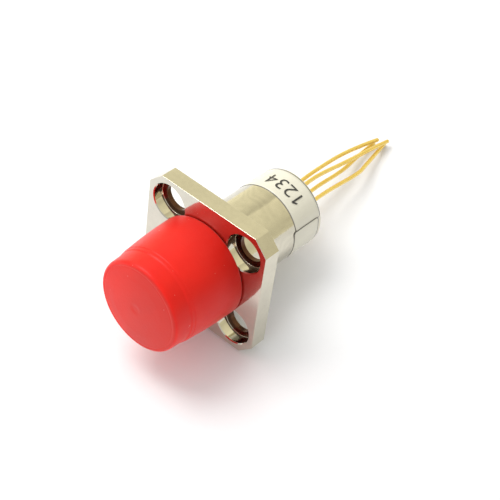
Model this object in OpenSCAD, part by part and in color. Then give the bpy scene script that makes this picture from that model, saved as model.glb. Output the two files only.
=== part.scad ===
// Coaxial receptacle laser diode with a square four-hole flange and a push-on dust cap.
// Millimetres. The optical axis is Y: the cap end points to -Y and the leads to +Y.
// Y = 0 is the flange's mounting face, and +Z is up.

/* [Flange] */
// Width and height of the square flange
flange_width = 14; // [12:0.5:18]
// Thickness of the flange
flange_thickness = 1.75; // [1.2:0.05:3]
// Leg of the flat cut across each corner
flange_corner = 1.4; // [0.5:0.1:2]
// Distance between neighbouring screw holes
hole_pitch = 9; // [8.8:0.1:10]
// Diameter of the counterbore for a screw head
counterbore_diameter = 3.8; // [3:0.1:4]
// Depth of the counterbore
counterbore_depth = 1.15; // [0.4:0.05:1.15]
// Diameter of the through hole for a screw
screw_hole_diameter = 2.9; // [2:0.1:3]
// Size of the small chamfers on the metal edges
edge_break = 0.12; // [0.05:0.01:0.2]

/* [Nose] */
// Outside diameter of the fine thread on the nose
nose_diameter = 8; // [7.6:0.1:8.4]
// Length of the nose in front of the flange
nose_length = 7; // [6.5:0.1:9]
// Pitch of the thread
thread_pitch = 0.75; // [0.5:0.05:1]
// Width of the relief groove between the thread and the flange
relief_width = 0.8; // [0.6:0.1:1.5]
// Bore of the nose, which takes the plug's ring
nose_bore = 6.2; // [5.8:0.1:6.4]
// Width of the key slot in the nose
key_slot_width = 2.2; // [1.8:0.1:2.4]
// Length of the key slot from the mouth
key_slot_length = 2.8; // [2:0.1:2.8]

/* [Centre post and sleeve] */
// Outside diameter of the centre post
post_diameter = 4.6; // [4.2:0.1:4.8]
// Diameter of the ceramic ferrule that plugs in
ferrule_diameter = 2.5; // [2.2:0.05:2.6]
// Wall of the split sleeve
sleeve_wall = 0.35; // [0.25:0.05:0.4]
// Width of the slit along the sleeve
sleeve_slit = 0.45; // [0.3:0.05:0.6]

/* [Barrel] */
// Outside diameter of the barrel behind the flange
barrel_diameter = 7.9; // [7.6:0.1:8.4]
// Length of the barrel behind the flange
barrel_length = 10.7; // [10:0.1:14]
// Bore of the barrel
barrel_bore = 6.2; // [6.1:0.05:6.4]
// How far the header is sunk into the barrel's end
header_recess = 0.9; // [0.4:0.1:1.2]
// Gap between the barrel's floor and the ring that holds the header
holder_gap = 2.5; // [2:0.1:2.8]

/* [Label] */
// Width of the wrapped label
label_width = 3.6; // [3:0.1:3.9]
// Thickness of the label
label_thickness = 0.08; // [0.05:0.01:0.12]
// Angle of the label's seam above the horizontal
label_seam = 20; // [0:5:60]
// How far the lap is shifted towards the flange
label_skew = 0.31; // [0.1:0.01:0.4]

/* [Dust cap] */
// Diameter of the cap's rear rim
cap_diameter = 10.2; // [9.8:0.1:10.6]
// Diameter of the stepped front part of the cap
cap_front_diameter = 9.24; // [9:0.02:9.4]
// Length of the cap
cap_length = 8.3; // [7.9:0.1:10.4]
// Length of the stepped front part of the cap
cap_step_length = 2.3; // [1.5:0.1:3]
// Radius of the cap's front edge
cap_edge_radius = 0.66; // [0.4:0.02:0.8]
// Rounding of the cap's open rim
cap_rim_radius = 0.35; // [0.1:0.05:0.5]
// Gap between the cap and the flange
cap_gap = 0.1; // [0.05:0.05:0.5]
// Radial clearance between the cap and the nose
cap_clearance = 0.05; // [0.02:0.01:0.08]

/* [Header and leads] */
// Diameter of the metal header
header_diameter = 5.6; // [5.2:0.1:5.7]
// Thickness of the header
header_thickness = 1.2; // [1:0.05:1.4]
// Diameter of the circle through the lead centres
lead_circle = 2.3; // [2.2:0.05:2.4]
// Diameter of each lead
lead_diameter = 0.42; // [0.35:0.01:0.45]
// Outside diameter of the lens can
can_diameter = 3.6; // [3.5:0.05:3.8]
// Height of the lens can in front of the header
can_height = 3.7; // [3.4:0.1:4]
// Wall of the lens can
can_wall = 0.25; // [0.15:0.05:0.3]
// Diameter of the ball lens
lens_diameter = 1.5; // [1.2:0.05:1.6]

/* [Hidden] */

flange_front = -flange_thickness;
nose_front = flange_front - nose_length;
nose_floor = flange_front - 1;
barrel_floor = 0.5;

thread_depth = 0.5413 * thread_pitch;
relief_front = flange_front - relief_width;

post_front = nose_front + 0.45;
sleeve_bore = ferrule_diameter + 2 * sleeve_wall + 0.1;
sleeve_front = post_front + 0.5;
sleeve_rear = barrel_floor - 1.4;
stub_front = sleeve_rear - 2.1;
stub_rear = barrel_floor + 0.4;

cap_rear = flange_front - cap_gap;
cap_front = cap_rear - cap_length;
cap_bore = nose_diameter / 2 + cap_clearance;
cap_step_y = cap_front + cap_step_length;

header_rear = barrel_length - header_recess;
header_front = header_rear - header_thickness;
can_front = header_front - can_height;
window_radius = 0.4 * lens_diameter;
lens_y = can_front + 0.3 + 0.3 * lens_diameter;
holder_front = barrel_floor + holder_gap;
holder_bore = can_diameter / 2 + 0.65;
chip_y = can_front + 2.07;
post_length = header_front - chip_y + 0.07;
bead_diameter = lead_diameter + 0.53;
lead_start = header_front - 0.4;
lead_exit = header_rear + 0.5;

label_rear = barrel_length - 0.1;
label_front = label_rear - label_width;
barrel_r = barrel_diameter / 2;

// Each path is a list of steps from the point where a lead leaves the header.
path_1 = [[-0.8, 5.2, -0.5], [-0.3, 6, -0.55], [0.35, 4, -0.35], [0.3, 2, -0.2]];
path_2 = [[-0.75, 5.2, -0.75], [0.05, 5, -0.75], [0, 4.5, -0.65], [0.05, 2.95, -0.45]];
path_3 = [[-0.4, 5.7, -0.65], [-0.05, 4.8, -0.55], [-0.45, 2.2, -0.25], [-1.2, 4.95, -0.55]];
path_4 = [[-0.9, 5.2, -0.3], [-0.1, 5, -0.3], [-0.5, 3.5, -0.2], [-0.4, 3.35, -0.2]];

// A round solid along Y between two stations.
module rod(radius, from, to, steps = 64) {
  translate([0, from, 0])
    rotate([-90, 0, 0])
      cylinder(h = to - from, r = radius, $fn = steps);
}

// A cone along Y between two stations.
module cone(radius_a, radius_b, from, to, steps = 64) {
  translate([0, from, 0])
    rotate([-90, 0, 0])
      cylinder(h = to - from, r1 = radius_a, r2 = radius_b, $fn = steps);
}

// A flat outline of [radius, station] pairs.
module outline(points) {
  polygon([for (p = points) [p[0], -p[1]]]);
}

// A shape turned about Y, all round or through an angle from a start angle.
module turned(start = 0, sweep = 360, steps = 96) {
  rotate([90, 0, 0])
    rotate([0, 0, start])
      rotate_extrude(angle = sweep, $fn = steps)
        children();
}

// A straight length of round wire from one point to another, short of both by a trim.
module straight(a, b, radius, trim_a, trim_b) {
  d = b - a;
  translate(a)
    rotate([0, acos(d[2] / norm(d)), atan2(d[1], d[0])])
      translate([0, 0, trim_a])
        cylinder(h = norm(d) - trim_a - trim_b, r = radius, $fn = 20);
}

// A round wire through a list of points, with a small ball at each inner point.
module wire(points, radius) {
  last = len(points) - 1;
  trim = 0.15 * radius;
  for (i = [1:last]) {
    straight(points[i - 1], points[i], radius, i == 1 ? 0 : trim, i == last ? 0 : trim);
  }
  for (i = [1:last - 1]) {
    translate(points[i])
      rotate([90, 0, 0])
        sphere(r = 1.05 * radius, $fn = 20);
  }
}

// The place after n steps of a path.
function reach(steps, n) = n == 0 ? [0, 0, 0] : reach(steps, n - 1) + steps[n - 1];

// A smooth curve through four points, between the second and the third.
function smooth(a, b, c, d, t) = 0.5 * (
  2 * b + (c - a) * t + (2 * a - 5 * b + 4 * c - d) * t * t + (3 * b - a - 3 * c + d) * t * t * t
);

function knots(exit, steps) = concat(
  [exit - [0, steps[0][1], 0]],
  [for (i = [0:len(steps)]) exit + reach(steps, i)],
  [exit + reach(steps, len(steps)) + steps[len(steps) - 1]]
);

function route(k) = concat(
  [for (i = [1:len(k) - 3]) for (t = [0, 0.5]) smooth(k[i - 1], k[i], k[i + 1], k[i + 2], t)],
  [k[len(k) - 2]]
);

module lead(angle, start, steps) {
  x = lead_circle / 2 * cos(angle);
  z = lead_circle / 2 * sin(angle);
  wire(concat([[x, start, z]], route(knots([x, lead_exit, z], steps))), lead_diameter / 2);
}

module at_lead(angle) {
  translate([lead_circle / 2 * cos(angle), 0, lead_circle / 2 * sin(angle)])
    children();
}

// The square plate with cut corners.
module flange_plate() {
  h = flange_width / 2;
  k = h - flange_corner;
  rotate([90, 0, 0])
    linear_extrude(height = flange_thickness)
      polygon([[k, h], [-k, h], [-h, k], [-h, -k], [-k, -h], [k, -h], [h, -k], [h, k]]);
}

// The chamfer along one straight edge of the plate.
module edge_cut(distance, angle, y) {
  size = edge_break * sqrt(2);
  rotate([0, -angle, 0])
    translate([distance, y, 0])
      rotate([0, 0, 45])
        cube([size, size, flange_width * 1.1], center = true);
}

module flange_edges() {
  h = flange_width / 2;
  corner_distance = (2 * h - flange_corner) / sqrt(2);
  for (y = [flange_front, 0]) {
    for (i = [0:3]) {
      edge_cut(h, 90 * i, y);
      edge_cut(corner_distance, 90 * i + 45, y);
    }
  }
}

module screw_holes() {
  for (x = [-1, 1]) {
    for (z = [-1, 1]) {
      translate([x * hole_pitch / 2, 0, z * hole_pitch / 2]) {
        rod(screw_hole_diameter / 2, flange_front - 1, 1, 48);
        rod(counterbore_diameter / 2, flange_front - 1, flange_front + counterbore_depth, 48);
        cone(counterbore_diameter / 2 + 0.3, counterbore_diameter / 2,
          flange_front - 0.21, flange_front + 0.09, 48);
      }
    }
  }
}

// The plain blank that the thread is cut in, with a relief groove next to the flange.
module nose_outline() {
  r = nose_diameter / 2;
  outline([
    [0, flange_front + 0.5], [0, nose_front], [r - 0.3, nose_front], [r, nose_front + 0.3],
    [r, relief_front - thread_depth / 2], [r - thread_depth, relief_front + thread_depth / 2],
    [r - thread_depth, flange_front + 0.5]
  ]);
}

module dust_cap() {
  r = cap_diameter / 2;
  f = cap_front_diameter / 2;
  color([0.83, 0.05, 0.04])
    difference() {
      turned(steps = 96) {
        outline([
          [0, cap_rear], [r - cap_rim_radius, cap_rear], [r, cap_rear - cap_rim_radius],
          [r - 0.05, cap_rear - 2.9],
          [f + 0.12, cap_step_y], [f, cap_step_y - 0.08], [f - 0.04, cap_front + cap_edge_radius],
          [f - cap_edge_radius, cap_front], [0, cap_front]
        ]);
        translate([f - 0.04 - cap_edge_radius, -cap_front - cap_edge_radius])
          circle(r = cap_edge_radius, $fn = 48);
        translate([r - cap_rim_radius, -cap_rear + cap_rim_radius])
          circle(r = cap_rim_radius, $fn = 48);
      }
      rod(cap_bore, nose_front - 0.4, cap_rear + 1, 96);
      cone(cap_bore, cap_bore + 0.6, cap_rear - 0.3, cap_rear + 0.3, 96);
      cone(f - 1.15, f - 1.75, cap_front - 0.3, cap_front + 0.12, 96);
      rod(0.5, cap_front - 1, cap_front + 0.3, 32);
    }
}

module housing() {
  r = nose_diameter / 2;
  color([0.78, 0.72, 0.58])
    difference() {
      union() {
        flange_plate();
        turned(steps = 96)
          nose_outline();
        turned(steps = 96)
          outline([
            [0, -0.5], [barrel_r, -0.5], [barrel_r, barrel_length - 0.15],
            [barrel_r - 0.15, barrel_length], [0, barrel_length]
          ]);
      }
      flange_edges();
      screw_holes();
      rod(nose_bore / 2, nose_front - 1, nose_floor, 96);
      cone(nose_bore / 2 + 0.5, nose_bore / 2, nose_front - 0.25, nose_front + 0.25, 96);
      rod(post_diameter / 2, nose_floor - 1, barrel_floor + 1, 64);
      rod(barrel_bore / 2, barrel_floor, barrel_length + 1, 96);
      cone(barrel_bore / 2, barrel_bore / 2 + 0.4, barrel_length - 0.2, barrel_length + 0.2, 96);
      translate([-key_slot_width / 2, nose_front - 1, nose_bore / 4])
        cube([key_slot_width, key_slot_length + 1, r]);
    }
}

module sleeve_post() {
  r = post_diameter / 2;
  m = ferrule_diameter / 2 + 0.1;
  color([0.8, 0.78, 0.72])
    turned(steps = 64)
      outline([
        [m + 0.2, post_front], [r - 0.3, post_front], [r, post_front + 0.3], [r, barrel_floor],
        [sleeve_bore / 2, barrel_floor], [sleeve_bore / 2, post_front + 0.4], [m, post_front + 0.4],
        [m, post_front + 0.2]
      ]);
}

module split_sleeve() {
  color([0.93, 0.92, 0.88])
    difference() {
      rod(ferrule_diameter / 2 + sleeve_wall, sleeve_front, sleeve_rear, 64);
      rod(ferrule_diameter / 2, sleeve_front - 1, sleeve_rear + 1, 64);
      translate([-sleeve_slit / 2, sleeve_front - 1, 0])
        cube([sleeve_slit, sleeve_rear - sleeve_front + 2, ferrule_diameter]);
    }
}

module stub_holder() {
  color([0.7, 0.7, 0.72])
    difference() {
      rod(sleeve_bore / 2, sleeve_rear + 0.1, barrel_floor, 64);
      rod(ferrule_diameter / 2, sleeve_rear - 1, barrel_floor + 1, 64);
    }
}

module fiber_stub() {
  r = ferrule_diameter / 2;
  color([0.95, 0.95, 0.92])
    turned(steps = 64)
      outline([
        [0.0625, stub_front], [r - 0.25, stub_front], [r, stub_front + 0.25],
        [r, stub_rear], [0.0625, stub_rear]
      ]);
}

module stub_fiber() {
  color([0.7, 0.85, 0.95])
    turned(steps = 64)
      outline([[0, stub_front], [0.0625, stub_front], [0.0625, stub_rear], [0, stub_rear]]);
}

module can_holder() {
  color([0.7, 0.7, 0.72])
    difference() {
      rod(barrel_bore / 2, holder_front, header_rear, 96);
      rod(holder_bore, holder_front - 1, header_rear, 64);
      rod(header_diameter / 2, header_front, header_rear + 1, 96);
    }
}

module lens_can() {
  r = can_diameter / 2;
  color([0.78, 0.76, 0.7])
    difference() {
      union() {
        rod(r, can_front, header_front, 64);
        rod(holder_bore - 0.1, header_front - 0.3, header_front, 64);
      }
      rod(r - can_wall, can_front + 0.3, header_front + 1, 64);
      rod(window_radius, can_front - 1, can_front + 1, 48);
    }
}

module ball_lens() {
  color([0.75, 0.88, 0.98])
    translate([0, lens_y, 0])
      sphere(d = lens_diameter, $fn = 48);
}

module header() {
  color([0.85, 0.65, 0.3])
    difference() {
      union() {
        rod(header_diameter / 2, header_front, header_rear, 96);
        translate([-0.7, chip_y - 0.07, -1.25])
          cube([1.4, post_length + 0.2, 1]);
      }
      for (a = [90, 180, 0]) {
        at_lead(a)
          rod(bead_diameter / 2, header_front - 1, header_rear + 1, 32);
      }
    }
}

module submount() {
  color([0.85, 0.84, 0.78])
    translate([-0.4, chip_y - 0.02, -0.25])
      cube([0.8, 0.8, 0.2]);
}

module laser_chip() {
  color([0.25, 0.25, 0.3])
    translate([-0.15, chip_y, -0.05])
      cube([0.3, 0.3, 0.1]);
}

module photodiode_block() {
  color([0.85, 0.84, 0.78])
    translate([-0.4, header_front - 0.2, -0.15])
      cube([0.8, 0.2, 0.8]);
}

module photodiode() {
  color([0.12, 0.14, 0.2])
    translate([-0.25, header_front - 0.3, 0])
      cube([0.5, 0.1, 0.5]);
}

module bead(angle) {
  color([0.25, 0.33, 0.36])
    at_lead(angle)
      difference() {
        rod(bead_diameter / 2, header_front, header_rear, 32);
        rod(lead_diameter / 2, header_front - 1, header_rear + 1, 20);
      }
}

module glass_bead_1() {
  bead(180);
}

module glass_bead_2() {
  bead(90);
}

module glass_bead_3() {
  bead(0);
}

module lead_1() {
  color([0.83, 0.62, 0.2])
    lead(180, lead_start, path_1);
}

module lead_2() {
  color([0.83, 0.62, 0.2])
    lead(90, lead_start, path_2);
}

module lead_3() {
  color([0.83, 0.62, 0.2])
    lead(0, lead_start, path_3);
}

module lead_4() {
  color([0.83, 0.62, 0.2])
    lead(-90, header_rear, path_4);
}

// The wrapped strip: the lower half is shifted towards the flange and laps at the seam.
module label() {
  a = barrel_r;
  b = barrel_r + label_thickness;
  color([0.93, 0.92, 0.85]) {
    turned(start = label_seam, sweep = 190, steps = 96)
      outline([[a, label_front], [b, label_front], [b, label_rear], [a, label_rear]]);
    turned(start = label_seam + 180, sweep = 180, steps = 96)
      outline([
        [a, label_front - label_skew], [b, label_front - label_skew],
        [b, label_rear - label_skew], [a, label_rear - label_skew]
      ]);
  }
}

dust_cap();
housing();
sleeve_post();
split_sleeve();
stub_holder();
fiber_stub();
stub_fiber();
can_holder();
lens_can();
ball_lens();
header();
submount();
laser_chip();
photodiode_block();
photodiode();
glass_bead_1();
glass_bead_2();
glass_bead_3();
lead_1();
lead_2();
lead_3();
lead_4();
label();
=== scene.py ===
# %% [markdown]
# # A laser diode in a screw-down receptacle
# A small metal housing with a square flange, a threaded nose under a soft red dust cap, a round
# barrel that holds the laser can, and four gold leads. The solid model already has every piece at
# its true place and size. This lesson dresses it: each piece that can be seen is built again with
# the fine edges that a solid leaves out, and each one gets a finish made from noise and maths.
# The back of the flange is y = 0, the cap points to -y, the leads to +y, and +z is up.

# %% Load the solid model
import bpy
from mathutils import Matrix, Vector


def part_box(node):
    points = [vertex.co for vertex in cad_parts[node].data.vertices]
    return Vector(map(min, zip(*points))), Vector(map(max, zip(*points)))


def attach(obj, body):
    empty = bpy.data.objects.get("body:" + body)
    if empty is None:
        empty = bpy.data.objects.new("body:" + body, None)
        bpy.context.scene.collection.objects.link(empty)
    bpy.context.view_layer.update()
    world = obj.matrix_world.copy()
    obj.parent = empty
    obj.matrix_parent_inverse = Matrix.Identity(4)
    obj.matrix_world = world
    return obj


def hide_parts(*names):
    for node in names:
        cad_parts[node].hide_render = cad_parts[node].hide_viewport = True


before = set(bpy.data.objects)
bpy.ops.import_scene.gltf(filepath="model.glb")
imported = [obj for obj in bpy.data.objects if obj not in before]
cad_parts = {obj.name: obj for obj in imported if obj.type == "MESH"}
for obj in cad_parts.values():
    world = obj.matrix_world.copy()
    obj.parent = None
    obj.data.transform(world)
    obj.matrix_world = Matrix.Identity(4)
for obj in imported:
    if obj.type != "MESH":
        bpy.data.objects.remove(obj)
print("solid pieces:", len(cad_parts))

# %% Tools and units
import math

import bmesh
import bpy
from mathutils import Euler, Matrix, Vector

MM = 0.001
FULL_TURN = 2 * math.pi


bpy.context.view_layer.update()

# %% [markdown]
# ## Main sizes
# The dressed pieces must sit exactly on the solid ones, so the main sizes are read from the
# boxes of the solid nodes. A box doesn't show a radius or a thickness inside a piece, so those
# few are typed here, in millimetres.

# %% Main sizes
def span(node, axis):
    """The lowest and highest place of a solid node along an axis, in millimetres."""
    low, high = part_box(node)
    return low[axis] / MM, high[axis] / MM


PLATE_HALF = span("housing", 0)[1]
NOSE_FRONT, BARREL_REAR = span("housing", 1)
CAP_FRONT, CAP_REAR = span("dust_cap", 1)
CAP_RADIUS = span("dust_cap", 0)[1]
HEADER_REAR = span("header", 1)[1]
LABEL_REAR = span("label", 1)[1]
NOSE_RADIUS = 4.0
BARREL_RADIUS = 3.95
PLATE_THICKNESS = 1.75
FRONT = -PLATE_THICKNESS
print("flange", 2 * PLATE_HALF, "cap", CAP_FRONT, CAP_REAR, "barrel end", BARREL_REAR)

# %% [markdown]
# ## Helpers for building
# Most pieces here were turned on a lathe. They could be stacked from cylinders and cones, but
# then every step would need its own bevel. Instead one helper draws half of the section as a
# wire, rounds the named corners with a vertex bevel and spins it about the long axis. A corner
# that is never perfectly sharp catches a thin line of light, and that line is what makes metal
# look like metal.

# %% Draw, round and spin a section
CORNER_SEGMENTS = 5


def wire(bm, points, closed=True):
    """Draws a chain of edges through points given in millimetres."""
    verts = [bm.verts.new(Vector(p) * MM) for p in points]
    edges = [bm.edges.new(pair) for pair in zip(verts, verts[1:])]
    if closed:
        edges.append(bm.edges.new((verts[-1], verts[0])))
    return verts, edges


def soften(bm, vert, radius, segments):
    """Rounds one corner of a wire."""
    bmesh.ops.bevel(
        bm, geom=[vert], offset=radius * MM, segments=segments, profile=0.5,
        affect="VERTICES", material=-1,
    )


def tidy(bm):
    """Merges doubles and turns all faces outwards."""
    bmesh.ops.remove_doubles(bm, verts=bm.verts, dist=0.0005 * MM)
    bmesh.ops.dissolve_degenerate(bm, edges=bm.edges, dist=0.0002 * MM)
    bmesh.ops.recalc_face_normals(bm, faces=bm.faces)


def turned(section, steps):
    """Spins a closed section about the y axis. A point is (radius, y) or (radius, y, rounding)."""
    bm = bmesh.new()
    verts, _ = wire(bm, [(p[0], p[1], 0) for p in section])
    for vert, point in zip(verts, section):
        if len(point) > 2:
            soften(bm, vert, point[2], CORNER_SEGMENTS)
    bmesh.ops.spin(
        bm, geom=bm.verts[:] + bm.edges[:], cent=(0, 0, 0), axis=(0, 1, 0),
        dvec=(0, 0, 0), angle=FULL_TURN, steps=steps, use_merge=True,
    )
    tidy(bm)
    return bm


# %% [markdown]
# ## From a mesh to a piece
# A bmesh is only a sketch. Large flat faces beside small rounded ones would look bent under
# plain smooth shading, so the machined pieces also get a modifier that weighs each face by its
# size.

# %% Make a piece
def keep(bm, name, body="receptacle", nodes=(), sharp=32):
    """Makes an object of a bmesh, hangs it on its body and hides the solid nodes it stands for."""
    mesh = bpy.data.meshes.new(name)
    bm.to_mesh(mesh)
    bm.free()
    mesh.shade_smooth()
    mesh.set_sharp_from_angle(angle=math.radians(sharp))
    piece = bpy.data.objects.new(name, mesh)
    bpy.context.scene.collection.objects.link(piece)
    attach(piece, body)
    if nodes:
        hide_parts(*nodes)
    print(name, len(mesh.polygons), "faces")
    return piece


def weighted(piece):
    """Lets large flat faces keep their flat shading beside small rounded ones."""
    modifier = piece.modifiers.new("flat_faces_first", "WEIGHTED_NORMAL")
    modifier.keep_sharp = True
    return piece


# %% [markdown]
# ## The dust cap
# A soft moulded cap pushed over the nose. It tapers a little, steps in near the front and ends
# in a face that bulges by a third of a millimetre, with the scar of the moulding gate in its
# centre and a fine groove where the face meets the rounding. A cylinder could be scaled and
# bevelled into this, but the steps are too fine for that. One spin of a closed section gives
# them all, and the bore is part of the same section, so the cap has a real wall when it is
# pulled off.

# %% The dust cap
CAP_NOSE = 4.62
CAP_STEP = CAP_FRONT + 2.3
CAP_MOUTH = CAP_REAR + 0.06
CAP_BORE = NOSE_RADIUS + 0.05
CAP_FLOOR = NOSE_FRONT - 0.4
gate_mark = [(0.0, CAP_FRONT + 0.05), (0.3, CAP_FRONT + 0.05, 0.1), (0.55, CAP_FRONT + 0.01, 0.15)]
bulging_face = [
    (1.6, CAP_FRONT + 0.03, 5), (2.9, CAP_FRONT + 0.14, 5), (4.04, CAP_FRONT + 0.3, 0.1),
    (4.12, CAP_FRONT + 0.33, 0.04), (4.2, CAP_FRONT + 0.31, 0.04),
    (CAP_NOSE - 0.06, CAP_FRONT + 0.36, 0.36),
]
stepped_side = [
    (CAP_NOSE + 0.03, CAP_STEP - 0.12, 0.08), (CAP_NOSE + 0.11, CAP_STEP, 0.1),
    (CAP_NOSE + 0.135, CAP_STEP + 0.3, 0.04), (CAP_NOSE + 0.17, CAP_STEP + 0.36, 0.05),
    (CAP_RADIUS - 0.05, CAP_REAR - 2.9, 1.2), (CAP_RADIUS, CAP_MOUTH, 0.2),
]
bore = [
    (CAP_BORE + 0.3, CAP_MOUTH, 0.05), (CAP_BORE, CAP_REAR - 0.3, 0.1),
    (CAP_BORE, CAP_FLOOR, 0.3), (0.0, CAP_FLOOR),
]
cap_section = gate_mark + bulging_face + stepped_side + bore
cap = keep(
    turned(cap_section, steps=160), "cap_shell", "cap", ["dust_cap"], sharp=50,
)

# %% [markdown]
# ## The square flange
# A plate with cut corners, four counterbored screw holes and a hair-thin rounding on every edge.
# A boolean could drill it, but then each rim and step would need a bevel of its own. Here the
# outline is one face, extruded and bevelled. Each hole is a spin of its own stepped section with
# the fine edges drawn in. The two large faces are taken out and filled again around the rims of
# the holes with a triangle fill.

# %% Outline of the flange
PLATE_CORNER = 1.4
EDGE_BREAK = 0.05
LARGE_AREA = 50 * MM * MM
half = PLATE_HALF
cut = PLATE_HALF - PLATE_CORNER
plate = bmesh.new()
corner_points = [
    (cut, half), (-cut, half), (-half, cut), (-half, -cut),
    (-cut, -half), (cut, -half), (half, -cut), (half, cut),
]
outline = [plate.verts.new(Vector((x, 0, z)) * MM) for x, z in corner_points]
back_face = plate.faces.new(outline)
grown = bmesh.ops.extrude_face_region(plate, geom=[back_face], use_keep_orig=True)["geom"]
front_verts = [part for part in grown if isinstance(part, bmesh.types.BMVert)]
bmesh.ops.translate(plate, verts=front_verts, vec=(0, FRONT * MM, 0))
bmesh.ops.recalc_face_normals(plate, faces=plate.faces)
bmesh.ops.bevel(
    plate, geom=plate.edges[:], offset=EDGE_BREAK * MM, segments=3, profile=0.5,
    affect="EDGES", material=-1,
)
large = [f for f in plate.faces if abs(f.normal.y) > 0.999 and f.calc_area() > LARGE_AREA]
bmesh.ops.delete(plate, geom=large, context="FACES_ONLY")
print("flange rim", len(plate.faces), "faces,", len(large), "large faces opened")

# %% Stepped screw holes
HOLE_OFFSET = 4.5
HEAD_RADIUS = 1.9
HEAD_DEPTH = 1.15
SCREW_RADIUS = 1.32
HOLE_STEPS = 64
hole_section = [
    (HEAD_RADIUS + 0.09, FRONT), (HEAD_RADIUS, FRONT + 0.09), (HEAD_RADIUS, FRONT + HEAD_DEPTH),
    (SCREW_RADIUS + 0.18, FRONT + HEAD_DEPTH), (SCREW_RADIUS, FRONT + HEAD_DEPTH + 0.05),
    (SCREW_RADIUS, -0.1), (SCREW_RADIUS + 0.1, 0.0),
]


def hanging_on(vert):
    """All edges that hang together with one vertex."""
    found = set()
    wider = set(vert.link_edges)
    while wider > found:
        found = wider
        wider = {e for edge in found for v in edge.verts for e in v.link_edges}
    return list(found)


for x in (-HOLE_OFFSET, HOLE_OFFSET):
    for z in (-HOLE_OFFSET, HOLE_OFFSET):
        hole_verts, _ = wire(plate, [(x + r, y, z) for r, y in hole_section], closed=False)
        soften(plate, hole_verts[2], 0.05, 3)
        chain = hanging_on(hole_verts[0])
        chain_verts = list({v for edge in chain for v in edge.verts})
        bmesh.ops.spin(
            plate, geom=chain_verts + chain, cent=Vector((x, 0, z)) * MM, axis=(0, 1, 0),
            dvec=(0, 0, 0), angle=FULL_TURN, steps=HOLE_STEPS, use_merge=True,
        )
bmesh.ops.remove_doubles(plate, verts=plate.verts, dist=0.0005 * MM)
print("flange with holes", len(plate.faces), "faces")

# %% Close the flat faces around the holes
def open_edges(bm, y):
    """The edges with one face only that lie at a place along the axis, in millimetres."""
    return [
        e for e in bm.edges
        if e.is_boundary and all(abs(v.co.y - y * MM) < 0.001 * MM for v in e.verts)
    ]


for level in (FRONT, 0.0):
    rims = open_edges(plate, level)
    filled = bmesh.ops.triangle_fill(plate, edges=rims, use_beauty=True, use_dissolve=False)
    print("level", level, "rim edges", len(rims), "fill", len(filled["geom"]))
tidy(plate)
flange = weighted(keep(plate, "flange_plate", nodes=["housing"], sharp=40))

# %% [markdown]
# ## The barrel
# The round rear part of the housing, which holds the laser can. It is a plain tube with a
# rounded and chamfered mouth. A cylinder with a smaller one cut out of it would need those edges
# afterwards, so it is one more spin. Its front end runs a little way into the flange, so no gap
# can show between them.

# %% The barrel
BARREL_BORE = 3.1
BARREL_FLOOR = 0.5
INTO_FLANGE = 0.5
CORE_RADIUS = 0.4
barrel_section = [
    (BARREL_RADIUS, -INTO_FLANGE), (BARREL_RADIUS, BARREL_REAR, 0.12),
    (BARREL_BORE + 0.1, BARREL_REAR, 0.08), (BARREL_BORE, BARREL_REAR - 0.15, 0.05),
    (BARREL_BORE, BARREL_FLOOR), (CORE_RADIUS, BARREL_FLOOR), (CORE_RADIUS, -INTO_FLANGE),
]
barrel = weighted(
    keep(turned(barrel_section, steps=192), "barrel_tube", nodes=["housing"])
)

# %% [markdown]
# ## The threaded nose
# The coupling nut of a fibre plug screws on here once the cap is off. Stacked rings would look
# like a thread from afar, but a real thread is a helix, and a spin makes one when it also moves
# a little along its axis at every step: the section is one pitch long, so each turn lands
# exactly on the one before it. The ends are trimmed with planes, the first turn is drawn in to
# a lead-in chamfer, and the key slot is cut last.

# %% The helix
PITCH = 0.75
THREAD_DEPTH = 0.6 * PITCH
THREAD_REAR = FRONT - 0.8
ROOT_RADIUS = NOSE_RADIUS - THREAD_DEPTH
GROOVE_RADIUS = ROOT_RADIUS - 0.12
TURN_STEPS = 72
turns = math.ceil((THREAD_REAR - NOSE_FRONT) / PITCH) + 3
start = NOSE_FRONT - 1.5 * PITCH
one_pitch = [
    (ROOT_RADIUS, 0), (ROOT_RADIUS, 0.22), (NOSE_RADIUS, 0.54), (NOSE_RADIUS, 0.68),
    (ROOT_RADIUS, 1),
]
nose = bmesh.new()
wire(nose, [(r, start + PITCH * share, 0) for r, share in one_pitch], closed=False)
bmesh.ops.spin(
    nose, geom=nose.verts[:] + nose.edges[:], cent=(0, 0, 0), axis=(0, 1, 0),
    dvec=(0, PITCH * MM / TURN_STEPS, 0), angle=turns * FULL_TURN,
    steps=turns * TURN_STEPS, use_merge=False,
)
bmesh.ops.remove_doubles(nose, verts=nose.verts, dist=0.002 * MM)
print("helix of", turns, "turns", len(nose.faces), "faces")

# %% Trim the ends and draw in the first turn
LEAD_IN = 0.45
LEAD_IN_CUTS = 3


def slice_nose(y, direction, clear):
    """Cuts the nose across at a place along the axis, and clears what is past the cut."""
    bmesh.ops.bisect_plane(
        nose, geom=nose.verts[:] + nose.edges[:] + nose.faces[:],
        plane_co=(0, y * MM, 0), plane_no=(0, direction, 0), clear_outer=clear,
    )


slice_nose(NOSE_FRONT, -1, True)
slice_nose(THREAD_REAR, 1, True)
for step in range(1, LEAD_IN_CUTS + 1):
    slice_nose(NOSE_FRONT + step * LEAD_IN / LEAD_IN_CUTS, 1, False)
for vert in nose.verts:
    allowed = NOSE_RADIUS * MM - max(0.0, (NOSE_FRONT + LEAD_IN) * MM - vert.co.y)
    runout = GROOVE_RADIUS * MM + max(0.0, THREAD_REAR * MM - vert.co.y)
    radius = math.hypot(vert.co.x, vert.co.z)
    scale = min(1.0, allowed / radius, runout / radius)
    vert.co.x *= scale
    vert.co.z *= scale
print("thread trimmed to", len(nose.faces), "faces")

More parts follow.
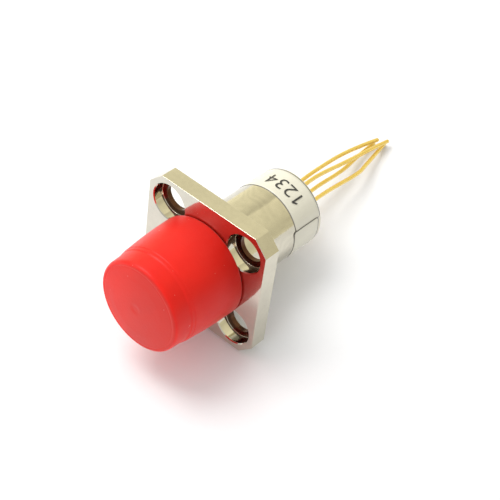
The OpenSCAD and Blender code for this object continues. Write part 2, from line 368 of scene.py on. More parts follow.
# %% Close the nose into a solid tube
NOSE_BORE = 3.1
NOSE_FLOOR = FRONT - 1.0
MOUTH_CHAMFER = 0.25
INTO_PLATE = 0.05
RING_STEPS = 144
NOSE_SHARP = 30


def ring(bm, radius, y):
    """A circle of edges around the long axis, in millimetres."""
    spun = Matrix.Translation((0, y * MM, 0)) @ Matrix.Rotation(math.pi / 2, 4, "X")
    verts = bmesh.ops.create_circle(
        bm, cap_ends=False, segments=RING_STEPS, radius=radius * MM, matrix=spun,
    )["verts"]
    return list({e for v in verts for e in v.link_edges})


mouth = open_edges(nose, NOSE_FRONT)
tail = open_edges(nose, THREAD_REAR)
mouth_ring = ring(nose, NOSE_BORE + MOUTH_CHAMFER, NOSE_FRONT)
bore_ring = ring(nose, NOSE_BORE, NOSE_FRONT + MOUTH_CHAMFER)
floor_ring = ring(nose, NOSE_BORE, NOSE_FLOOR)
groove_ring = ring(nose, GROOVE_RADIUS, THREAD_REAR)
root_ring = ring(nose, GROOVE_RADIUS, FRONT + INTO_PLATE)
bmesh.ops.triangle_fill(nose, edges=mouth + mouth_ring, use_beauty=True)
bmesh.ops.bridge_loops(nose, edges=mouth_ring + bore_ring)
bmesh.ops.bridge_loops(nose, edges=bore_ring + floor_ring)
bmesh.ops.contextual_create(nose, geom=floor_ring)
bmesh.ops.bridge_loops(nose, edges=groove_ring + root_ring)
bmesh.ops.contextual_create(nose, geom=root_ring)
bmesh.ops.triangle_fill(nose, edges=tail + groove_ring, use_beauty=True)
tidy(nose)
print("nose closed:", sum(e.is_boundary for e in nose.edges), "open edges")
nose_piece = keep(nose, "threaded_nose", nodes=["housing"], sharp=NOSE_SHARP)

# %% [markdown]
# ## The key slot
# The plug's key drops into a slot in the mouth of the nose, so that it can't turn. The slot
# crosses the thread, and no spin can make that, so this one cut is a boolean with a block. It
# is worked out at once and kept as the mesh, and the block is thrown away.

# %% Cut the key slot
SLOT_WIDTH = 2.2
SLOT_LENGTH = 2.8
PAST_MOUTH = 1
BLOCK_HEIGHT = 3
BLOCK_MIDDLE = NOSE_RADIUS - 0.2
block_bm = bmesh.new()
block_place = Matrix.LocRotScale(
    Vector((0, NOSE_FRONT + (SLOT_LENGTH - PAST_MOUTH) / 2, BLOCK_MIDDLE)) * MM, None,
    Vector((SLOT_WIDTH, SLOT_LENGTH + PAST_MOUTH, BLOCK_HEIGHT)) * MM,
)
bmesh.ops.create_cube(block_bm, size=1, matrix=block_place)
block = bpy.data.objects.new("slot_block", bpy.data.meshes.new("slot_block"))
block_bm.to_mesh(block.data)
block_bm.free()
bpy.context.scene.collection.objects.link(block)
slotting = nose_piece.modifiers.new("key_slot", "BOOLEAN")
slotting.operation = "DIFFERENCE"
slotting.solver = "EXACT"
slotting.object = block
bpy.context.view_layer.update()
slotted = bpy.data.meshes.new_from_object(
    nose_piece.evaluated_get(bpy.context.evaluated_depsgraph_get())
)
nose_piece.modifiers.clear()
nose_piece.data = slotted
slotted.shade_smooth()
slotted.set_sharp_from_angle(angle=math.radians(NOSE_SHARP))
bpy.data.objects.remove(block)
print("nose with key slot", len(slotted.polygons), "faces")

# %% [markdown]
# ## The leads
# Four gold-plated wires leave the back of the header and were bent by hand. Three come out of
# glass seals, and the fourth stands on the metal. Straight cylinders with a ball at each bend
# would show every joint, and real wire has none. So each path is a few steps in round numbers
# with a smooth spline through them, and a curve with a round bevel becomes a mesh whose cut end
# is slightly rounded.

# %% Paths of the leads
LEAD_CIRCLE = 1.15
LEAD_EXIT = HEADER_REAR + 0.5
IN_GLASS = HEADER_REAR - 1.6
ON_HEADER = HEADER_REAR
SPLINE_STEPS = 10
LEADS = {
    "lead_1": (180, IN_GLASS, [
        (-0.8, 5.2, -0.5), (-0.3, 6, -0.55), (0.35, 4, -0.35), (0.3, 2, -0.2),
    ]),
    "lead_2": (90, IN_GLASS, [
        (-0.75, 5.2, -0.75), (0.05, 5, -0.75), (0, 4.5, -0.65), (0.05, 2.95, -0.45),
    ]),
    "lead_3": (0, IN_GLASS, [
        (-0.4, 5.7, -0.65), (-0.05, 4.8, -0.55), (-0.45, 2.2, -0.25), (-1.2, 4.95, -0.55),
    ]),
    "lead_4": (-90, ON_HEADER, [
        (-0.9, 5.2, -0.3), (-0.1, 5, -0.3), (-0.5, 3.5, -0.2), (-0.4, 3.35, -0.2),
    ]),
}


def spline(a, b, c, d, t):
    """A smooth curve through four points, between the second and the third."""
    return 0.5 * (2 * b + (c - a) * t + (2 * a - 5 * b + 4 * c - d) * t * t
                  + (3 * b - a - 3 * c + d) * t * t * t)


def lead_path(angle, begin, steps):
    """The centre line of one lead, from its foot to its cut end, in millimetres."""
    turn = math.radians(angle)
    foot = Vector((LEAD_CIRCLE * math.cos(turn), LEAD_EXIT, LEAD_CIRCLE * math.sin(turn)))
    knots = [foot - Vector((0, steps[0][1], 0)), foot]
    for step in steps:
        knots.append(knots[-1] + Vector(step))
    knots.append(knots[-1] + Vector(steps[-1]))
    path = [Vector((foot.x, begin, foot.z))]
    for i in range(1, len(knots) - 2):
        for k in range(SPLINE_STEPS):
            path.append(spline(*knots[i - 1:i + 3], k / SPLINE_STEPS))
    path.append(knots[-2])
    return path


paths = {name: lead_path(*facts) for name, facts in LEADS.items()}
print("lead paths of", [len(path) for path in paths.values()], "points")

# %% Sweep the leads
LEAD_RADIUS = 0.21
EASING_PASSES = 6
ROUNDED_TIP = [(0.06, 1.0), (0.02, 0.93), (0.0, 0.72)]


def swept(path, name):
    """A round wire along a path, as a closed mesh with a slightly rounded tip."""
    for _ in range(EASING_PASSES):
        eased = [(a + 2 * b + c) / 4 for a, b, c in zip(path, path[1:], path[2:])]
        path = [path[0], *eased, path[-1]]
    tip = path[-1]
    way = (tip - path[-2]).normalized()
    shares = [1.0] * (len(path) - 1) + [share for _, share in ROUNDED_TIP]
    path = path[:-1] + [tip - way * short for short, _ in ROUNDED_TIP]
    curve = bpy.data.curves.new(name, "CURVE")
    curve.dimensions = "3D"
    curve.bevel_depth = LEAD_RADIUS * MM
    curve.bevel_resolution = 6
    curve.use_fill_caps = True
    line = curve.splines.new("POLY")
    line.points.add(len(path) - 1)
    for point, place, share in zip(line.points, path, shares):
        point.co = (*(place * MM), 1)
        point.radius = share
    holder = bpy.data.objects.new(name, curve)
    bm = bmesh.new()
    bm.from_mesh(bpy.data.meshes.new_from_object(holder))
    bpy.data.objects.remove(holder)
    tidy(bm)
    return bm


lead_pieces = [
    keep(swept(path, name), "wire_" + name[-1], nodes=[name], sharp=55)
    for name, path in paths.items()
]

# %% [markdown]
# ## The wrapped label
# A strip of glossy coated paper runs once around the barrel. It was put on slightly askew, so
# its far end lands a little in front of its start and lies over it. A short tube would have no
# seam and no slant. So a flat grid stands for the strip as it was cut, each vertex is moved to
# its angle around the barrel, and a Solidify modifier gives the paper its thickness. The flat
# place is kept as the UV map, so the print follows the paper.

# %% From the flat strip to the barrel
LABEL_WIDTH = 3.6
LABEL_SEAM = math.radians(17.5)
LABEL_TURN = math.radians(362.5)
LABEL_SKEW = 0.32
LABEL_LIFT = 0.02
FLAP_TURN = math.radians(14)
FLAP_LIFT = 0.05
label_length = LABEL_TURN * BARREL_RADIUS


def wrapped(along, across, lift):
    """Takes a place on the flat strip to its place around the barrel."""
    turn = LABEL_SEAM + along / BARREL_RADIUS
    onto_flap = max(0.0, along / BARREL_RADIUS - LABEL_TURN + FLAP_TURN) / FLAP_TURN
    ease = onto_flap * onto_flap * (3 - 2 * onto_flap)
    radius = BARREL_RADIUS + LABEL_LIFT + FLAP_LIFT * ease + lift
    y = LABEL_REAR - LABEL_WIDTH + across - LABEL_SKEW * along / label_length
    return Vector((radius * math.cos(turn), y, radius * math.sin(turn))) * MM


print("strip", round(label_length, 2), "mm long")

# %% Cut the strip and wrap it
LABEL_CORNER = 0.35
PAPER_THICKNESS = 0.045
strip = bmesh.new()
bmesh.ops.create_grid(strip, x_segments=180, y_segments=12, size=0.5)
bmesh.ops.translate(strip, verts=strip.verts, vec=(0.5, 0.5, 0))
flat_map = strip.loops.layers.uv.new("strip")
for vert in strip.verts:
    vert.co.x *= label_length
    vert.co.y *= LABEL_WIDTH
    inward_x = 1 if vert.co.x < label_length / 2 else -1
    inward_y = 1 if vert.co.y < LABEL_WIDTH / 2 else -1
    into_end = LABEL_CORNER - min(vert.co.x, label_length - vert.co.x)
    into_side = LABEL_CORNER - min(vert.co.y, LABEL_WIDTH - vert.co.y)
    if into_end > 0 and into_side > 0:
        pull = 1 - max(into_end, into_side) / math.hypot(into_end, into_side)
        vert.co.x += inward_x * into_end * pull
        vert.co.y += inward_y * into_side * pull
for face in strip.faces:
    for loop in face.loops:
        loop[flat_map].uv = (loop.vert.co.x / label_length, loop.vert.co.y / LABEL_WIDTH)
for vert in strip.verts:
    vert.co = wrapped(vert.co.x, vert.co.y, 0)
label = keep(strip, "label_strip", nodes=["label"], sharp=60)
paper = label.modifiers.new("paper_thickness", "SOLIDIFY")
paper.thickness = PAPER_THICKNESS * MM
paper.offset = 1

# %% [markdown]
# ## The printed numbers
# The label carries plain numbers in a row. They could be drawn in the finish, but outlines stay
# crisp at any distance. Each digit is a text curve made into a mesh, cut into narrow slices so
# that it can bend, and laid on the paper with the same mapping as the strip. The font's 1 is a
# bare bar, so it gets its small flag here.

# %% Print the numbers
DIGIT_HEIGHT = 1.55
DIGIT_SHARE = 0.70
TEXT_SIZE = DIGIT_HEIGHT / DIGIT_SHARE
STROKE_OFFSET = -0.018
DIGIT_ANGLES = (57.5, 72.0, 87.5, 104.0)
DIGIT_LINE = 2.42
INK_LIFT = 0.05
SLICE = 0.1
SLICES_EACH_WAY = 8
FLAG_OF_ONE = [(-0.03, 0.67), (-0.17, 0.53), (-0.17, 0.44), (-0.03, 0.56)]


def digit(text, angle):
    """One printed digit, bent around the label."""
    words = bpy.data.curves.new("digit_" + text, "FONT")
    words.body = text
    words.align_x = "CENTER"
    words.size = TEXT_SIZE
    words.offset = STROKE_OFFSET
    words.resolution_u = 6
    holder = bpy.data.objects.new("digit_" + text, words)
    bm = bmesh.new()
    bm.from_mesh(bpy.data.meshes.new_from_object(holder))
    bpy.data.objects.remove(holder)
    if text == "1":
        flag = [bm.verts.new((x * TEXT_SIZE, y * TEXT_SIZE, 0)) for x, y in FLAG_OF_ONE]
        bm.faces.new(flag)
    for place in range(-SLICES_EACH_WAY, SLICES_EACH_WAY + 1):
        bmesh.ops.bisect_plane(
            bm, geom=bm.verts[:] + bm.edges[:] + bm.faces[:],
            plane_co=(place * SLICE, 0, 0), plane_no=(1, 0, 0),
        )
    middle = (math.radians(angle) - LABEL_SEAM) * BARREL_RADIUS
    for vert in bm.verts:
        vert.co = wrapped(middle + vert.co.x, DIGIT_LINE - vert.co.y, INK_LIFT)
    return bm


digits = [
    keep(digit(str(number), angle), "digit_" + str(number), sharp=80)
    for number, angle in enumerate(DIGIT_ANGLES, 1)
]
print(len(digits), "digits printed")

# %% [markdown]
# ## Sums on sockets
# Every finish starts from the Principled shader, and what varies over a surface is written as
# sums. Placing each Math node by hand would bury the idea under wiring. The small class below
# wraps a socket, so that `noise * 0.2 + 0.1` adds the nodes that do it.

# %% A socket that can be calculated with
class Value:
    """A number that changes over a surface."""

    def __init__(self, web, socket):
        self.web = web
        self.socket = socket

    def maths(self, operation, *others):
        """This value first, then the others, through one Math node."""
        values = dict(enumerate((self,) + others))
        return self.web.node("Math", {"operation": operation}, values)

    def flipped(self, operation, other):
        """The other value first, then this one."""
        return self.web.node("Math", {"operation": operation}, {0: other, 1: self})

    def __add__(self, other):
        return self.maths("ADD", other)

    def __radd__(self, other):
        return self.maths("ADD", other)

    def __sub__(self, other):
        return self.maths("SUBTRACT", other)

    def __rsub__(self, other):
        return self.flipped("SUBTRACT", other)

    def __mul__(self, other):
        return self.maths("MULTIPLY", other)

    def __rmul__(self, other):
        return self.maths("MULTIPLY", other)

    def band(self, low, high):
        """0 below low, 1 above high and smooth between them."""
        return self.web.node(
            "MapRange", {"interpolation_type": "SMOOTHSTEP"},
            {"Value": self, "From Min": low, "From Max": high},
        )


# %% [markdown]
# ## Nodes and finishes
# The surfaces and the surroundings are both webs of nodes, so one class adds any node to a web,
# and a finish is a web with a Principled shader at its end. Colours are blended by a Mix node,
# because plain maths would turn them grey. Patterns read the object's own coordinates, so they
# need no unwrapping and their size is a true length on the piece.

# %% Any node
def colour(red, green, blue):
    """A colour with full opacity."""
    return (red, green, blue, 1.0)


def set_stops(ramp, stops):
    """Gives a ramp its stops, which are pairs of a place and a colour."""
    for place, _ in stops[1:-1]:
        ramp.elements.new(place)
    for element, (place, tone) in zip(ramp.elements, stops):
        element.position = place
        element.color = tone


class Web:
    """A tree of shader nodes."""

    def __init__(self, tree):
        self.tree = tree

    def node(self, kind, settings=None, values=None, output=0):
        """Adds any node, sets it up and returns one of its outputs."""
        made = self.tree.nodes.new("ShaderNode" + kind)
        for key, setting in (settings or {}).items():
            if key == "stops":
                set_stops(made.color_ramp, setting)
            else:
                setattr(made, key, setting)
        for key, value in (values or {}).items():
            if isinstance(value, Value):
                self.tree.links.new(value.socket, made.inputs[key])
            else:
                made.inputs[key].default_value = value
        return Value(self, made.outputs[output])

    def part(self, vector, name):
        """The X, Y or Z of a vector."""
        return self.node("SeparateXYZ", {}, {0: vector}, output=name)

    def blend(self, amount, first, second):
        """A colour between two colours."""
        return self.node(
            "Mix", {"data_type": "RGBA"}, {0: amount, 6: first, 7: second}, output=2,
        )


# %% A finish
class Finish(Web):
    """A material built around one Principled shader."""

    def __init__(self, name, **constants):
        self.material = bpy.data.materials.new(name)
        self.material.use_nodes = True
        super().__init__(self.material.node_tree)
        self.shader = self.tree.nodes["Principled BSDF"]
        for name_of_input, value in constants.items():
            self.shader.inputs[name_of_input.replace("_", " ")].default_value = value

    def noise(self, size, scale=(1, 1, 1), detail=3.0, roughness=0.5, turn=(0, 0, 0)):
        """Noise whose features are about size millimetres, stretched by scale."""
        wide = tuple(s / MM for s in scale)
        spot = self.node("Mapping", {}, {
            "Vector": self.node("TexCoord", output="Object"), "Scale": wide, "Rotation": turn,
        })
        return self.node("TexNoise", {}, {
            "Vector": spot, "Scale": 1 / size, "Detail": detail, "Roughness": roughness,
        })

    def axis(self, name):
        """One of the object's coordinates, in millimetres."""
        return self.part(self.node("TexCoord", output="Object"), name) * (1 / MM)

    def feed(self, **wires):
        """Links values to the shader's sockets."""
        for name_of_input, value in wires.items():
            self.tree.links.new(value.socket, self.shader.inputs[name_of_input.replace("_", " ")])
        return self

    def emboss(self, height, depth=1.0):
        """Bump from a height, with a depth in millimetres."""
        values = {"Height": height, "Distance": depth * MM, "Strength": 1.0}
        return self.feed(Normal=self.node("Bump", {}, values, output="Normal"))

    def cover(self, *pieces):
        """Puts the finish on pieces."""
        for piece in pieces:
            piece.data.materials.clear()
            piece.data.materials.append(self.material)
        return self


# %% [markdown]
# ## Nickel
# The housing is turned and milled brass with bright nickel on it. Nickel is a little warmer than
# chrome. One flat grey would look like plastic, and what tells metal is how the mirror breaks
# up: its roughness drifts where it was handled, fine hairlines cross it at random, the barrel
# keeps the rings that the lathe left, which only vary along the long axis, and a wiping cloth
# left soft swirls on it, which are the sine of a slow noise. The milled faces are a little paler.
# Deep in the screw holes the metal is painted dark brown, as a painted shade in the hollows.

# %% Nickel finishes
SWIRL_WAVES = 125
SWIRL_TINT = 190


def nickel(name, base, smooth, rings, ring_size, hairlines, swirls=0.0):
    """Bright nickel. rings, hairlines and swirls are depths in millimetres."""
    finish = Finish(name, Metallic=1.0)
    drift = finish.noise(2.2, detail=4)
    cloud = finish.noise(0.5, detail=5, roughness=0.6)
    lathe = finish.noise(ring_size, scale=(0.02, 1, 0.02), detail=6, roughness=0.65)
    scratch = finish.noise(0.06, scale=(0.05, 1, 1), turn=(0.3, 0.5, 0.9), detail=2)
    crossing = finish.noise(0.05, scale=(1, 0.04, 1), turn=(0.9, 0.2, 0.4), detail=2)
    marks = scratch.band(0.66, 0.74) + crossing.band(0.68, 0.76)
    wiped = finish.noise(6, detail=1).band(0.42, 0.62)
    swirl = (finish.noise(5, detail=1.2) * SWIRL_WAVES).maths("SINE") * wiped
    tone = drift.band(0.3, 0.7) * 0.6 + cloud.band(0.35, 0.65) * 0.4
    finish.feed(
        Base_Color=finish.blend(
            tone + swirl * (SWIRL_TINT * swirls),
            colour(*base), colour(*(c * 0.9 for c in base)),
        ),
        Roughness=smooth + drift * 0.05 + cloud * 0.03 + marks * 0.05,
    )
    return finish.emboss(
        lathe * rings + marks * (-hairlines) + cloud * (0.2 * hairlines) + swirl * swirls,
    )


NICKEL = (0.645, 0.61, 0.505)
PALE_NICKEL = (0.655, 0.63, 0.545)
# painted shade for the walls deep in the screw holes
HOLE_SHADE_NICKEL = (0.10, 0.048, 0.028)
nickel(
    "flange_nickel", NICKEL, smooth=0.03, rings=0.0004, ring_size=0.4, hairlines=0.0004,
).cover(flange)
nickel(
    "barrel_nickel", NICKEL, smooth=0.08, rings=0.0018, ring_size=0.09, hairlines=0.0014,
    swirls=0.0015,
).cover(barrel)
nickel(
    "nose_nickel", NICKEL, smooth=0.14, rings=0.0006, ring_size=0.05, hairlines=0.0004,
).cover(nose_piece)
# a dark brown nickel that paints the shade deep in the screw holes
hole_shade_nickel = nickel(
    "hole_shade_nickel", HOLE_SHADE_NICKEL, smooth=0.2, rings=0.012, ring_size=0.16, hairlines=0.0006,
)
face_nickel = nickel(
    "face_nickel", PALE_NICKEL, smooth=0.035, rings=0.0, ring_size=0.4, hairlines=0.0005,
)
print("nickel on", flange.name, barrel.name, nose_piece.name)

# %% Holes and faces of the flange
IN_HOLE_SHADE = 1
ON_FACE = 2
# the second finish is painted shade for the faces deep in the holes
flange.data.materials.append(hole_shade_nickel.material)
flange.data.materials.append(face_nickel.material)
for polygon in flange.data.polygons:
    middle = polygon.center / MM
    off_axis = math.hypot(abs(middle.x) - HOLE_OFFSET, abs(middle.z) - HOLE_OFFSET)
    if off_axis < HEAD_RADIUS - 0.04 and FRONT + 0.3 < middle.y < -0.1:
        polygon.material_index = IN_HOLE_SHADE
    elif abs(polygon.normal.y) > 0.99:
        polygon.material_index = ON_FACE
print("flange has", len(flange.data.materials), "finishes")

# %% [markdown]
# ## The cap's red plastic
# Soft low-density plastic, slightly see-through, so a little light scatters under its skin. A
# plain red would look painted. Towards the rear, by the flange, the red is painted darker as a
# painted shade. The mould leaves a fine satin grain, flow marks make the red drift a little, the
# face is painted duller as a painted shade, most on its right side, away from the lamp, and a
# thin sheen veils the red where it is seen at a slant. Dust shows as a few light specks.

# %% Red plastic
red = Finish(
    "cap_red", Subsurface_Weight=0.45, Subsurface_Scale=1.0 * MM,
    Subsurface_Radius=(1.0, 0.18, 0.1), IOR=1.48, Specular_IOR_Level=0.26, Sheen_Weight=0.1,
    Sheen_Roughness=0.45,
)
flow = red.noise(3.0, scale=(1, 0.5, 1), detail=4)
grain = red.noise(0.05, detail=3)
skin = red.noise(0.35, detail=5, roughness=0.6)
dust = red.noise(0.28, detail=1).band(0.79, 0.82)
front = 1 - red.axis("Y").band(CAP_FRONT + 0.33, CAP_FRONT + 0.5)
# painted shade: the face is duller and paler, most on its right side, away from the lamp
painted_face_shade = front * (0.07 + red.axis("X").band(-4.5, 1.5) * 0.52)
# painted shade: the red gets darker towards the rear of the cap, by the flange
painted_rear_shade = red.axis("Y").band(CAP_FRONT + 2, CAP_REAR)
vivid = red.blend(flow.band(0.3, 0.7), colour(0.88, 0.015, 0.005), colour(0.81, 0.011, 0.004))
# the painted rear shade and the painted face shade are blended into the red here
rear_shaded_red = red.blend(painted_rear_shade, vivid, colour(0.69, 0.009, 0.003))
face_shaded_red = red.blend(painted_face_shade, rear_shaded_red, colour(0.57, 0.034, 0.024))
red.feed(
    Base_Color=red.blend(dust * 0.7, face_shaded_red, colour(0.9, 0.42, 0.36)),
    Roughness=0.34 + skin * 0.08 + front * 0.08 + grain * 0.04,
)
red.emboss(grain * 0.003 + skin * 0.012 + dust * 0.01).cover(cap)
print("red plastic on", cap.name)

# %% [markdown]
# ## Gold
# The leads and the header are gold over nickel. Real gold wire isn't one even yellow: its tone
# drifts where pliers held it, and drawing leaves fine lengthwise die lines. Both are noise, and
# the second is stretched along the wire.

# %% Gold finishes
def gold(name, rough, deep_share):
    """Soft yellow gold plating."""
    finish = Finish(name, Metallic=1.0)
    tone = finish.noise(1.3, detail=4)
    fine = finish.noise(0.08, scale=(1, 0.12, 1), detail=4)
    finish.feed(
        Base_Color=finish.blend(
            tone.band(0.35, 0.75) * deep_share, colour(0.88, 0.67, 0.215),
            colour(0.81, 0.565, 0.14),
        ),
        Roughness=rough + fine * 0.08,
    )
    return finish.emboss(fine, 0.0012)


gold("lead_gold", rough=0.22, deep_share=0.6).cover(*lead_pieces)
print("gold on", len(lead_pieces), "leads")

# %% [markdown]
# ## Label and ink
# Coated paper is a warm white under a clear glossy film. The border is a printed line that keeps
# its distance from the edge of the strip. It could be one more mesh, but it runs round rounded
# corners and under the flap, so it is easier to work out: the distance to the edge follows from
# the strip's own map, and a narrow band of that distance is ink.

# %% Paper
LINE_WIDTH = 0.09
LINE_BLUR = 0.02
film = Finish("label_paper", Coat_Weight=0.5, Coat_Roughness=0.12, Roughness=0.45)
spot = film.node("UVMap", {"uv_map": "strip"}, output="UV")
along = film.part(spot, "X") * label_length
across = film.part(spot, "Y") * LABEL_WIDTH
beside = (LABEL_CORNER - across.maths("MINIMUM", LABEL_WIDTH - across)).maths("MAXIMUM", 0.0)
beyond = (LABEL_CORNER - along.maths("MINIMUM", label_length - along)).maths("MAXIMUM", 0.0)
from_edge = LABEL_CORNER - (beside * beside + beyond * beyond).maths("SQRT")
edge_line = 1 - from_edge.band(LINE_WIDTH - LINE_BLUR, LINE_WIDTH + LINE_BLUR)
fibre = film.noise(0.12, detail=4)
waves = film.noise(2.4, detail=3)
white = film.blend(waves.band(0.3, 0.7), colour(0.84, 0.805, 0.655), colour(0.80, 0.765, 0.62))
film.feed(Base_Color=film.blend(edge_line * 0.85, white, colour(0.06, 0.055, 0.05)))
film.emboss(fibre * 0.002 + waves * 0.02).cover(label)
print("paper on", label.name)

# %% Ink
ink = Finish("label_ink", Roughness=0.5, Coat_Weight=0.3, Coat_Roughness=0.15)
worn = ink.noise(0.09, detail=3)
ink.feed(
    Base_Color=ink.blend(
        worn.band(0.4, 0.8), colour(0.015, 0.015, 0.018), colour(0.07, 0.065, 0.06),
    ),
)
ink.cover(*digits)
print("ink on", len(digits), "digits")

# %% [markdown]
# ## Finishes for the inner pieces
# The solid nodes that stay as they are sit inside the nose and the barrel. They are seen when
# the cap is off, from behind, or when the part is taken apart, so each one is finished too.
# Besides the gold, two recipes are enough: turned metal with fine rings, and a clouded ceramic,
# glass or crystal.

# %% Recipes for the inner pieces
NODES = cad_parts


def machined(name, base, smooth, ring_size):
    """Turned metal with fine rings along the axis."""
    finish = Finish(name, Metallic=1.0)
    tone = finish.noise(1.0, detail=4)
    lathe = finish.noise(ring_size, scale=(0.03, 1, 0.03), detail=5)
    finish.feed(
        Base_Color=finish.blend(
            tone.band(0.3, 0.7), colour(*base), colour(*(c * 0.86 for c in base)),
        ),
        Roughness=smooth + tone * 0.08 + lathe * 0.08,
    )
    return finish.emboss(lathe, 0.002)


def clouded(name, base, shade, smooth, size, **constants):
    """A ceramic, glass or crystal with a fine clouded colour."""
    finish = Finish(name, **constants)
    cloud = finish.noise(size, detail=5, roughness=0.6)
    finish.feed(
        Base_Color=finish.blend(cloud.band(0.3, 0.7), colour(*base), colour(*shade)),
        Roughness=smooth + cloud * 0.08,
    )
    return finish.emboss(cloud, 0.001)


# %% Finish the inner pieces
machined(
    "post_metal", (0.78, 0.75, 0.69), smooth=0.18, ring_size=0.06,
).cover(NODES["sleeve_post"])
machined(
    "steel", (0.62, 0.61, 0.60), smooth=0.26, ring_size=0.05,
).cover(NODES["stub_holder"], NODES["can_holder"])
machined(
    "can_metal", (0.74, 0.72, 0.67), smooth=0.24, ring_size=0.08,
).cover(NODES["lens_can"])
gold("header_gold", rough=0.2, deep_share=0.8).cover(NODES["header"])
clouded(
    "zirconia", (0.88, 0.87, 0.82), (0.82, 0.81, 0.75), smooth=0.12, size=0.4,
    Coat_Weight=0.4, Coat_Roughness=0.05,
).cover(NODES["split_sleeve"], NODES["fiber_stub"])
clouded(
    "lens_glass", (0.82, 0.90, 0.95), (0.74, 0.84, 0.92), smooth=0.02, size=0.6,
    Transmission_Weight=0.85, IOR=1.6,
).cover(NODES["ball_lens"], NODES["stub_fiber"])
clouded(
    "seal_glass", (0.05, 0.10, 0.09), (0.03, 0.06, 0.07), smooth=0.08, size=0.2,
    Coat_Weight=0.6, Coat_Roughness=0.05,
).cover(NODES["glass_bead_1"], NODES["glass_bead_2"], NODES["glass_bead_3"])
clouded(
    "submount_ceramic", (0.80, 0.80, 0.76), (0.70, 0.70, 0.66), smooth=0.4, size=0.1,
).cover(NODES["submount"], NODES["photodiode_block"])
clouded(
    "chip", (0.10, 0.09, 0.14), (0.16, 0.14, 0.10), smooth=0.1, size=0.06, Metallic=0.6,
).cover(NODES["laser_chip"], NODES["photodiode"])
print("inner pieces finished")

# %% [markdown]
# ## The floor
# The object lies tipped: the back edge of the flange and the tips of the leads touch the table.
# The floor is therefore a slanted plane in the object's own axes. Past the lead tips it bends
# away from the object, so that a low view from behind isn't blocked by it. A large plane would
# do for a view from above. Here it is a bent line swept sideways, in white paper. Far from the
# object the paper glows by itself, because a lamp that is sized for so small a thing can't light
# a whole table.

# %% Lay the floor
TIP_BACK = math.radians(9.7)
FLOOR_REACH = 600
FLOOR_BEHIND = 60
BEND_RADIUS = 18
BEND_SEGMENTS = 12
flat_way = Vector((0, math.cos(TIP_BACK), math.sin(TIP_BACK)))
rest_edge = Vector((0, 0, -PLATE_HALF))
bend = rest_edge + flat_way * FLOOR_BEHIND
floor_line = [
    rest_edge - flat_way * FLOOR_REACH, bend, bend + Vector((0, FLOOR_REACH, -FLOOR_BEHIND)),
]
floor_bm = bmesh.new()
floor_verts, _ = wire(floor_bm, [(-FLOOR_REACH, p.y, p.z) for p in floor_line], closed=False)
soften(floor_bm, floor_verts[1], BEND_RADIUS, BEND_SEGMENTS)
spread = bmesh.ops.extrude_edge_only(floor_bm, edges=floor_bm.edges[:])["geom"]
bmesh.ops.translate(
    floor_bm, verts=[v for v in spread if isinstance(v, bmesh.types.BMVert)],
    vec=(2 * FLOOR_REACH * MM, 0, 0),
)
bmesh.ops.recalc_face_normals(floor_bm, faces=floor_bm.faces)
floor_mesh = bpy.data.meshes.new("floor")
floor_bm.to_mesh(floor_mesh)
floor_bm.free()
floor_mesh.shade_smooth()
floor = bpy.data.objects.new("floor", floor_mesh)
bpy.context.scene.collection.objects.link(floor)
print("floor laid")

# %% Paper of the floor
GLOW_BEGINS = 50
GLOW_FULL = 140
sheet = Finish("floor_paper", Roughness=0.7, Specular_IOR_Level=0.2, Emission_Strength=1.0)
far_x = sheet.axis("X")
far_y = sheet.axis("Y")
glow = (far_x * far_x + far_y * far_y).band(GLOW_BEGINS ** 2, GLOW_FULL ** 2)
tooth = sheet.noise(0.5, detail=3)
sheet.feed(
    Base_Color=sheet.blend(tooth, colour(0.92, 0.92, 0.92), colour(0.94, 0.94, 0.94)),
    Emission_Color=sheet.blend(glow, colour(0.02, 0.02, 0.02), colour(0.8, 0.8, 0.8)),
)
sheet.cover(floor)
print("paper on", floor.name)

# %% [markdown]
# ## Light
# Bright metal shows its surroundings, so the surroundings are drawn first. The camera sees plain
# white. A mirror sees a warm wall whose brightness follows a ramp round the long axis: each step
# in the ramp is a crisp band along the barrel, which real lamps would only give after much
# moving about. Towards the cap's end the wall is an even grey. Dull things are lit by a soft sky
# that is open to the upper left in front, and one soft panel on the same side throws the shadow.

# %% The wall that the metal mirrors
scene = bpy.context.scene
world = bpy.data.worlds.new("tent")
world.use_nodes = True
tent = Web(world.node_tree)
ways = tent.node("TexCoord")
east = tent.part(ways, "X")
north = tent.part(ways, "Y")
above = tent.part(ways, "Z")
around = above.maths("ARCTAN2", east) * (1 / FULL_TURN) + 0.5
WALL_COLOUR = (1.35, 1.265, 0.915)
WALL_STOPS = [
    (0.0, 1.0), (0.25, 0.7), (0.5, 0.70), (0.539, 0.60), (0.572, 0.58), (0.617, 0.68),
    (0.672, 0.74), (0.758, 0.84), (0.761, 0.60), (0.785, 0.60), (0.839, 0.77), (0.95, 0.88),
    (1.0, 1.0),
]
stops = [(place, colour(*(c * bright for c in WALL_COLOUR))) for place, bright in WALL_STOPS]
wall = tent.node("ValToRGB", {"stops": stops}, {0: around})
mirror = tent.blend(north.band(-0.1, 0.35), colour(0.74, 0.74, 0.74), wall)
print("wall of", len(stops), "stops")

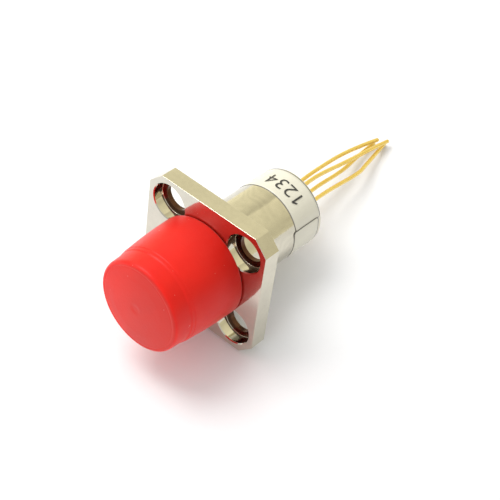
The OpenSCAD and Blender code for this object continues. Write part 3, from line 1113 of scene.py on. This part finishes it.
# %% The sky that lights dull things
OPEN_SIDE = Vector((-0.30, -0.42, 0.86)).normalized()
facing = east * OPEN_SIDE.x + north * OPEN_SIDE.y + above * OPEN_SIDE.z
soft = tent.blend(facing.band(-0.4, 0.9), colour(0.17, 0.17, 0.18), colour(0.92, 0.92, 0.92))
glossy = tent.node("LightPath", output="Is Glossy Ray")
seen = tent.node("LightPath", output="Is Camera Ray")
pale = tent.blend(seen, tent.blend(glossy, soft, mirror), colour(1.0, 1.0, 1.0))
lit = world.node_tree.nodes["Background"]
world.node_tree.links.new(pale.socket, lit.inputs["Color"])
lit.inputs["Strength"].default_value = 1.0
scene.world = world
print("sky open towards", tuple(round(c, 2) for c in OPEN_SIDE))

# %% The soft panel
PANEL_WAY = Vector((-0.42, -0.22, 0.88)).normalized()
PANEL_DISTANCE = 140
PANEL_SIZE = 80
PANEL_POWER = 0.118
lamp = bpy.data.lights.new("key", "AREA")
lamp.shape = "RECTANGLE"
lamp.size = PANEL_SIZE * MM
lamp.size_y = PANEL_SIZE * MM
lamp.energy = PANEL_POWER
panel = bpy.data.objects.new("key", lamp)
panel.location = (Vector((0, 2, 0)) + PANEL_WAY * PANEL_DISTANCE) * MM
panel.rotation_euler = PANEL_WAY.to_track_quat("Z", "Y").to_euler()
scene.collection.objects.link(panel)
print("panel", PANEL_SIZE, "mm wide at", PANEL_DISTANCE, "mm")

# %% [markdown]
# ## Camera
# A long lens from above, in front and to the right, as a product is usually looked at. It is
# turned a little about its own axis, because the object's axes lie tipped on the table.

# %% Camera
CAMERA_PLACE = Vector((53.788, -69.730, 82.376))
CAMERA_DEGREES = (47.054, -6.464, 41.564)
eye = bpy.data.cameras.new("eye")
eye.lens = 94.85
eye.sensor_width = 36
eye.clip_start = 0.001
eye.clip_end = 10
camera = bpy.data.objects.new("eye", eye)
camera.location = CAMERA_PLACE * MM
camera.rotation_euler = Euler([math.radians(angle) for angle in CAMERA_DEGREES])
scene.collection.objects.link(camera)
scene.camera = camera
scene.view_settings.view_transform = "Standard"
print("camera at", tuple(round(c, 4) for c in camera.location))
